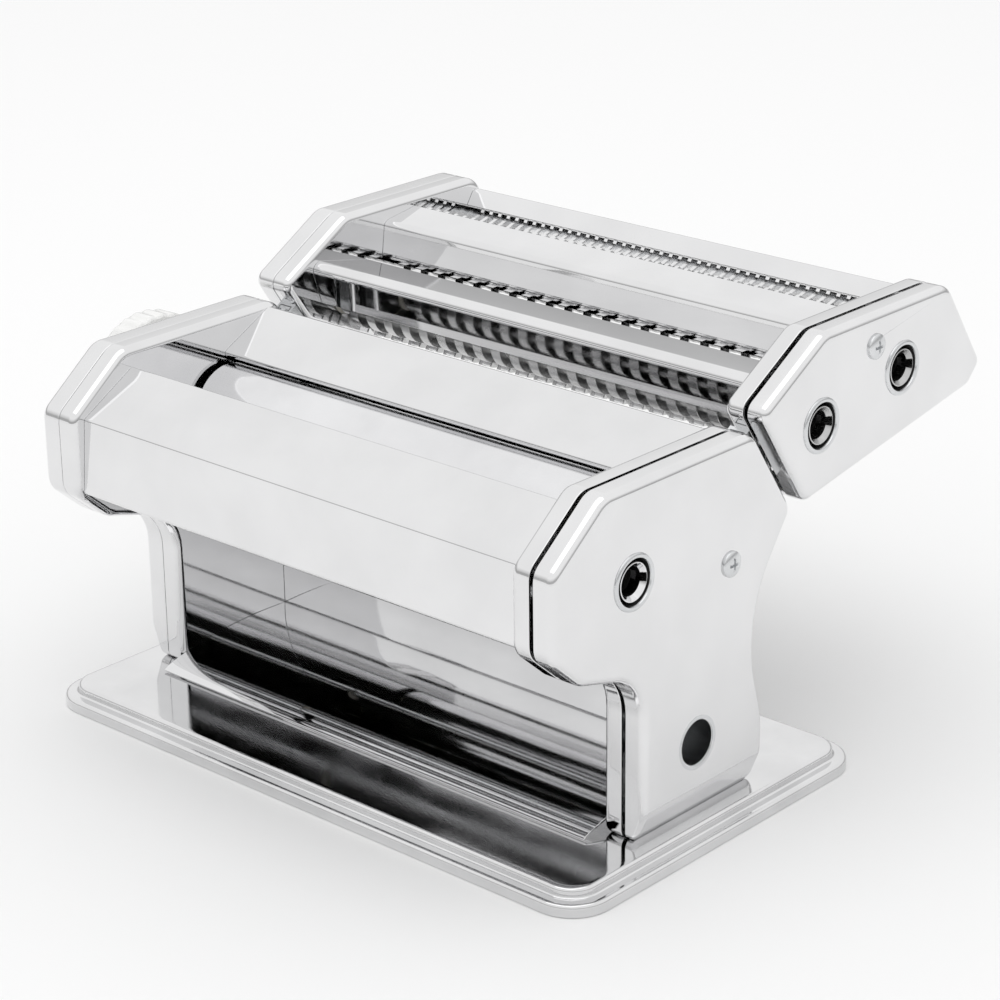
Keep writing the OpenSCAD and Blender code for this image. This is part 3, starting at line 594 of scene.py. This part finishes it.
# %% [markdown]
# Everything round in this machine lies along X, so each turned part is a stack of rings: a profile
# of (x, radius) carried round its shaft. A crank socket is the same stack with one ring that isn't
# round, because a key slot is cut into the mouth of the bore.


# %% Turned parts
def even_angles(steps):
    """A full turn in equal steps."""
    return np.arange(steps) * 2 * np.pi / steps


def ring_angles(steps=72):
    """Angles round a shaft, with the key slot's corners among them so that they come out sharp."""
    corner = np.array([math.asin(KEY_W / 2 / KEY_R), math.asin(KEY_W / 2 / SOCKET_R)])
    return np.unique(np.round(np.r_[even_angles(steps), corner, -corner % (2 * np.pi)], 6))


def turned(profile, at, angles, side=1):
    """Rings of a profile of (x, radius), where a radius may also be an array with one value for
    each angle."""
    x = np.array([p[0] for p in profile], float)
    r = np.array([p[1] + 0 * angles for p in profile], float)
    rings = np.stack([x[:, None] + 0 * r, at[0] + r * np.cos(angles), at[1] + r * np.sin(angles)], -1)
    quads = grid_quads(len(profile), len(angles))
    if side < 0:
        rings[..., 0] *= -1
        quads = quads[:, ::-1]
    return rings.reshape(-1, 3), quads


SOCKET_R = 4.5
SOCKET_DEPTH = 20.0
KEY_W = 2.6
KEY_R = 5.55
KEY_DEPTH = 5.0
JOURNAL_R = 6.0
MOUTH_R = 5.6
CONE_DEPTH = 1.5
LEFT_END = -box_low("drive_roller")[0]


def keyed_radius(angles):
    """Radius of the bore's mouth at each angle: the slot's flat end, its two sides, and the
    circle."""
    a = np.abs((angles + np.pi) % (2 * np.pi) - np.pi)
    sides = np.where(a < 1, KEY_W / 2 / np.maximum(np.sin(a), 1e-3), 0.0)
    in_slot = a <= math.asin(KEY_W / 2 / KEY_R) + 1e-5
    return np.where(in_slot, KEY_R / np.cos(a), np.maximum(sides, SOCKET_R))


def socket_profile(angles):
    """Journal end on the crank side: eased rim, a cone down to the bore wherever the key slot isn't
    deeper, then the slot's floor and the plain bore down to its end."""
    key, plain = keyed_radius(angles), SOCKET_R
    cone = [(FACE - CONE_DEPTH * s, np.maximum(plain + (MOUTH_R - plain) * (1 - s), key))
            for s in (0.5, 1)]
    return [(FACE - 0.35, JOURNAL_R), (FACE - 0.1, JOURNAL_R - 0.1), (FACE, JOURNAL_R - 0.3),
            (FACE, MOUTH_R), *cone, (FACE - KEY_DEPTH, key), (FACE - KEY_DEPTH, plain),
            (FACE - SOCKET_DEPTH, plain), (FACE - SOCKET_DEPTH, 0)]


def bore_faces(profile, around, socket=True):
    """Marks the last three bands of a profile, which are the inside of its bore, with painted shade."""
    return np.repeat([0] * (len(profile) - 4) + [int(socket)] * 3, len(around))


def barrel(length, radius, ease=0.6):
    """Two ends of a smooth barrel with eased edges, from the knob side to the crank side."""
    return [(-length, radius - ease), (-length + ease, radius),
            (length - ease, radius), (length, radius - ease)]


# %% [markdown]
# The smooth rollers are ground bars with a thinner journal at each end. Each is one profile turned
# round its shaft: end, journal, barrel with eased edges, journal. Separate cylinders pushed into
# one another would look the same from afar, but one skin hides no faces inside and its eased edges
# catch the light. The driven roller ends in the crank socket.

# %% Smooth rollers
ROLLER_HALF = WEB - 2.0
ROLLER_R = 14.2
AXLE_R = 5
angles = ring_angles(120)
axle = [(-LEFT_END, 0), (-LEFT_END, AXLE_R), (-ROLLER_HALF, AXLE_R), *barrel(ROLLER_HALF, ROLLER_R)]
profile = [*axle, (ROLLER_HALF, JOURNAL_R), *socket_profile(angles)]
points, quads = turned(profile, DRIVE, angles)
# The socket's bore is given painted shade, near black, where its inside lies in shadow.
finish_piece("drive_roller_turned", points, quads, "drive_roller", TURNED,
             ["drive_roller"], dark_faces=bore_faces(profile, angles))
right_end = box_high("adjustable_roller")[0]
profile = [*axle, (ROLLER_HALF, AXLE_R), (right_end, AXLE_R), (right_end, 0)]
points, quads = turned(profile, ADJUST, angles)
finish_piece("adjustable_roller_turned", points, quads, "adjustable_roller", TURNED,
             ["adjustable_roller"])
print("roller facets round:", len(angles))

# %% [markdown]
# A cutter is a shaft with a row of square-edged rings. The two shafts of a pair are alike, but one
# row is shifted by half a pitch so that its rings run in the other's grooves. All rings come from
# one broadcast: ring centres down, profile corners across.


# %% Ring cutters
RING_R = 8.3
GROOVE_R = 5.3
RING_SLACK = 0.15
RING_EASE = 0.12
SMALL_JOURNAL_R = 4.0
WIDE_CUT = 4
FINE_CUT = 2


def ring_rows(cut, shift):
    """Profile of all rings: each ring centre plus the six corners of one ring."""
    pitch, half = 2 * cut, (cut - RING_SLACK) / 2
    reach = ROLLER_HALF - cut
    first, last = -math.floor((reach + shift) / pitch), math.floor((reach - shift) / pitch)
    centres = np.arange(first, last + 1) * pitch + shift
    along = np.array([-half, -half, RING_EASE - half, half - RING_EASE, half, half])
    shoulder = RING_R - RING_EASE
    radius = np.array([GROOVE_R, shoulder, RING_R, RING_R, shoulder, GROOVE_R])
    x = (centres[:, None] + along).ravel()
    return list(zip(x, np.tile(radius, len(centres))))


def cutter(name, at, cut, shift, body, socket):
    """One cutter shaft with its rings; a driven one ends in a crank socket whose bore has painted shade.
    """
    around = ring_angles(36)
    left = -box_low(name)[0]
    end = box_high(name)[0]
    tail = socket_profile(around) if socket else [(end, SMALL_JOURNAL_R), (end, 0)]
    right_r = JOURNAL_R if socket else SMALL_JOURNAL_R
    profile = [(-left, 0), (-left, SMALL_JOURNAL_R), (-ROLLER_HALF, SMALL_JOURNAL_R),
               (-ROLLER_HALF, GROOVE_R), *ring_rows(cut, shift),
               (ROLLER_HALF, GROOVE_R), (ROLLER_HALF, right_r), *tail]
    points, quads = turned(profile, at, around)
    return finish_piece(name + "_turned", points, quads, body, CUT, [name],
                        dark_faces=bore_faces(profile, around, socket))


cutter("wide_driven_cutter", WIDE, WIDE_CUT, 0, "wide_driven", True)
cutter("wide_idle_cutter", WIDE_IDLE, WIDE_CUT, WIDE_CUT, "wide_idle", False)
cutter("fine_driven_cutter", FINE, FINE_CUT, 0, "fine_driven", True)
cutter("fine_idle_cutter", FINE_IDLE, FINE_CUT, FINE_CUT, "fine_idle", False)
print("rings:", len(ring_rows(WIDE_CUT, 0)) // 6, "wide,", len(ring_rows(FINE_CUT, 0)) // 6, "fine")

# %% [markdown]
# Round each crank socket the cover has a collar: a thin bright lip, then an annular gap in which
# the shaft turns. The gap is what makes the socket read as a bearing, so its wall and the washer at
# its floor get painted shade, near black, in place of the shadow inside it.


# %% Crank collars and clamp sleeve
def collar(name, at, body, node=()):
    """A lip that lies on the cover, a wall that drops into the hole and a washer round the
    shaft."""
    around = even_angles(64)
    wall, deep = COLLAR_R - 0.7, FACE - 4.0
    profile = [(FACE, 8.7), (FACE + 0.3, 8.6), (FACE + 0.6, 8.2), (FACE + 0.65, 7.8), (FACE + 0.5, 7.3),
               (FACE, wall), (deep, wall), (deep, JOURNAL_R + 0.08), (deep - 1.2, JOURNAL_R + 0.08),
               (deep - 1.2, COLLAR_R - 0.05), (FACE, COLLAR_R - 0.05), (FACE, 8.7)]
    points, quads = turned(profile, at, around)
    # The wall and washer bands get the near-black painted shade of the gap.
    black = np.repeat([0, 0, 0, 0, 0, 1, 1, 1, 1, 0, 0], len(around))
    return finish_piece(name, points, quads, body, ZINC, node, dark_faces=black)


collar("crank_collar", DRIVE, "frame", ["crank_ring"])
collar("wide_crank_collar", WIDE, "cutter_head", ["cutter_crank_rings"])
collar("fine_crank_collar", FINE, "cutter_head")

around = even_angles(64)
lip = [(FACE - 1.2, CLAMP_R - 0.05), (FACE - 0.3, CLAMP_R - 0.25), (FACE + 0.1, CLAMP_R + 0.3),
       (FACE + 0.15, CLAMP_R + 0.8), (FACE, CLAMP_R + 1.2), (FACE - 0.05, CLAMP_R + 0.05)]
floor_x, sleeve_r = WEB + SHEET, CLAMP_R + 1.5
sleeve = [(floor_x, 0), (floor_x + 0.1, CLAMP_R - 1.2), (floor_x + 2, CLAMP_R - 0.3), *lip,
          (FACE - SHEET, CLAMP_R + 0.05), (FACE - SHEET, sleeve_r), (floor_x, sleeve_r), (floor_x, 0)]
points, quads = turned(sleeve, CLAMP, around)
# The floor of the clamp hole gets painted shade, near black, where it lies in shadow.
black = np.repeat([1, 1] + [0] * (len(sleeve) - 3), len(around))
finish_piece("clamp_sleeve_turned", points, quads[:, ::-1], "frame", ZINC,
             ["clamp_sleeve"], dark_faces=black)
print("collars made: 3")

# %% [markdown]
# The cover screws are small pan heads. A cross recess is a height field: on a polar grid the dome's
# height is lowered wherever the point lies close to one of the two arms.


# %% Screws
def pan_head(name, at, side, body, node=()):
    """Shank, underside, rim and dome; the dome is a shallow sphere less a tapered cross."""
    around = even_angles(64)
    head_r, head_h, shank_r, shank = 4.0, 1.6, 1.8, 4
    arm, half_w, arm_taper, wall_taper = 2.1, 0.42, 0.5, 0.14
    skirt = [(FACE - shank, 0), (FACE - shank, shank_r), (FACE, shank_r), (FACE, head_r),
             (FACE + 0.5, head_r)]
    points, _ = turned(skirt, at, around)
    r = np.linspace(head_r - 0.12, 0.0, 30)[:, None] + 0 * around
    y, z = r * np.cos(around), r * np.sin(around)
    dome = FACE + head_h - 0.75 * (r / head_r) ** 2 - 0.25 * (r / head_r) ** 8
    across = np.minimum(np.abs(y), np.abs(z))
    along = np.maximum(np.abs(y), np.abs(z))
    cut = np.clip((half_w - across) / wall_taper, 0, 1) * np.clip((arm - along) / arm_taper, 0, 1)
    top = np.stack([dome - 1.0 * cut, at[0] + y, at[1] + z], -1).reshape(-1, 3)
    points = np.concatenate([points, top])
    quads = grid_quads(len(skirt) + len(r), len(around))
    if side < 0:
        points[:, 0] *= -1
        quads = quads[:, ::-1]
    return finish_piece(name, points, quads, body, ZINC, node)


pan_head("cover_screw_right", POST_RIGHT, 1, "frame", ["cover_screws"])
pan_head("cover_screw_left", POST_LEFT, -1, "frame")
pan_head("cutter_screw_right", HEAD_POST_RIGHT, 1, "cutter_head", ["cutter_screws"])
pan_head("cutter_screw_left", HEAD_POST_LEFT, -1, "cutter_head")
print("screws made: 4")

# %% [markdown]
# The thickness knob is a moulded wheel with finger flutes round its rim. The flutes are a cosine
# added to the radius of the rings between the two rim edges, and the profile is a closed loop
# because the knob is hollow.

# %% Knob
knob_low, knob_high = -box_high("thickness_knob")[0], -box_low("thickness_knob")[0]
KNOB_R = 24.0
RIM_DEPTH = 10
NECK_R = 13
SKIRT_R = 19
CAP_R = 10.1
FLUTES = 30
FLUTE_DEPTH = 0.55
around = even_angles(FLUTES * 8)
flute = FLUTE_DEPTH * (1 - np.cos(around * FLUTES)) / 2
back = knob_high - RIM_DEPTH
cap_seat, cavity = knob_high - 1.4, knob_low + 4.5
outer = rounded_line([
    (knob_low, 17, 0), (knob_low, SKIRT_R, 0.8),
    (knob_low + 3, SKIRT_R, 0.8), (knob_low + 3, NECK_R, 1.2),
    (back, NECK_R, 1.5), (back, KNOB_R, 1.6), (knob_high, KNOB_R, 2.2), (knob_high, 12, 0.8),
    (knob_high - 0.8, 10.4, 0.4), (cap_seat, 10.2, 0)])
fluted = (outer[:, 1] > KNOB_R - 0.9)[:, None] * flute
inner = [(cap_seat, 9.2), (cavity, 9.2), (cavity, 5.05), (knob_low, 5.05), (knob_low, 17)]
profile = [(x, r - f) for (x, r), f in zip(outer, fluted)] + inner
points, quads = turned(profile, ADJUST, around, -1)
finish_piece("thickness_knob_moulded", points, quads, "knob", PALE, ["thickness_knob"])
cap_face, dish = knob_high - 0.05, knob_high - 0.5
cap = rounded_line([
    (cap_seat, 0, 0), (cap_seat, CAP_R, 0.1), (cap_face, CAP_R, 0.5), (cap_face, 7.5, 0.5),
    (dish, 6.5, 0.5), (dish, 0, 0)], 5)
points, quads = turned([tuple(p) for p in cap], ADJUST, around[::4], -1)
finish_piece("knob_cap_disc", points, quads, "knob", MIRROR, ["knob_cap"])
print("knob depth:", round(float(knob_high - knob_low), 2))

# %% [markdown]
# The remaining engineering nodes already have the right shape, so they only need their metal, nylon
# or rubber.

# %% Materials for the nodes that stay
finish_of = {
    NYLON: ["drive_bushes", "knob_bush", "cutter_bushes", "bearing_block_left", "bearing_block_right"],
    RUBBER: ["rubber_feet"],
    GEAR: ["drive_gear", "adjustable_gear", "wide_driven_gear", "wide_idle_gear", "fine_driven_gear",
           "fine_idle_gear"],
    SATIN: ["wide_combs", "fine_combs", "front_scraper", "rear_scraper"],
}
named = {node: material for material, nodes in finish_of.items() for node in nodes}
for node, thing in frame["nodes"].items():
    thing.data.materials.clear()
    thing.data.materials.append(named.get(node, ZINC))
print("nodes with a finish:", len(frame["nodes"]))

# %% [markdown]
# The machine stands on a wide pale floor, and its lower parts mirror it. A curved backdrop would do
# as well, but a flat sheet under an even sky gives the same view with nothing to line up. It
# belongs to the stage and isn't part of the object.

# %% Floor
floor_mesh = bpy.data.meshes.new("floor")
reach = 4.0
floor_mesh.from_pydata(
    [(-reach, -reach, 0), (reach, -reach, 0), (reach, reach, 0), (-reach, reach, 0)], [], [(0, 1, 2, 3)])
floor = bpy.data.objects.new("floor", floor_mesh)
floor.location.z = -0.0001
bpy.context.scene.collection.objects.link(floor)
floor_material, _, floor_shader = new_material("pale floor")
floor_shader.inputs["Base Color"].default_value = (0.93, 0.93, 0.93, 1)
floor_shader.inputs["Roughness"].default_value = 0.9
floor_shader.inputs["Specular IOR Level"].default_value = 0.1
floor_mesh.materials.append(floor_material)
print("floor width, metres:", 2 * reach)

# %% [markdown]
# Polished metal is lit by what it can see. A white sky overhead and a grey band low on the horizon
# give white flats with thin dark lines at the folds, which is how steel looks in a white studio.
# One broad, weak light above adds the soft shadow under the machine. Small lights would leave a
# hard spot in every fold.

# %% Light
world = bpy.data.worlds.new("studio")
bpy.context.scene.world = world
world.use_nodes = True
sky = world.node_tree
direction = sky.nodes.new("ShaderNodeTexCoord")
parts = sky.nodes.new("ShaderNodeSeparateXYZ")
ramp = sky.nodes.new("ShaderNodeValToRGB")
ramp.color_ramp.elements[0].position, ramp.color_ramp.elements[0].color = 0.0, (0.5, 0.5, 0.5, 1)
ramp.color_ramp.elements[1].position, ramp.color_ramp.elements[1].color = 1.0, (1, 1, 1, 1)
for height, shade in [(0.12, 0.45), (0.22, 0.72), (0.4, 1.0)]:
    stop = ramp.color_ramp.elements.new(height)
    stop.color = (shade, shade, shade, 1)
sky.links.new(direction.outputs["Generated"], parts.inputs["Vector"])
sky.links.new(parts.outputs["Z"], ramp.inputs["Fac"])
sky.links.new(ramp.outputs["Color"], sky.nodes["Background"].inputs["Color"])
sky.nodes["Background"].inputs["Strength"].default_value = 1.0


def soft_light(name, place, aim, size, power):
    """A square area light at a place, turned to face a point."""
    data = bpy.data.lights.new(name, "AREA")
    data.size, data.energy = size, power
    lamp = bpy.data.objects.new(name, data)
    lamp.location = place
    lamp.rotation_euler = (Vector(aim) - Vector(place)).to_track_quat("-Z", "Y").to_euler()
    bpy.context.scene.collection.objects.link(lamp)


soft_light("overhead", (0.0, -0.2, 1.6), (0, 0, 0.05), 1.6, 4)
bpy.context.scene.view_settings.view_transform = "Standard"
print("light set")

# %% Count of pieces and triangles
print("pieces:", len(pieces), "triangles:", sum(len(p.data.polygons) for p in pieces))
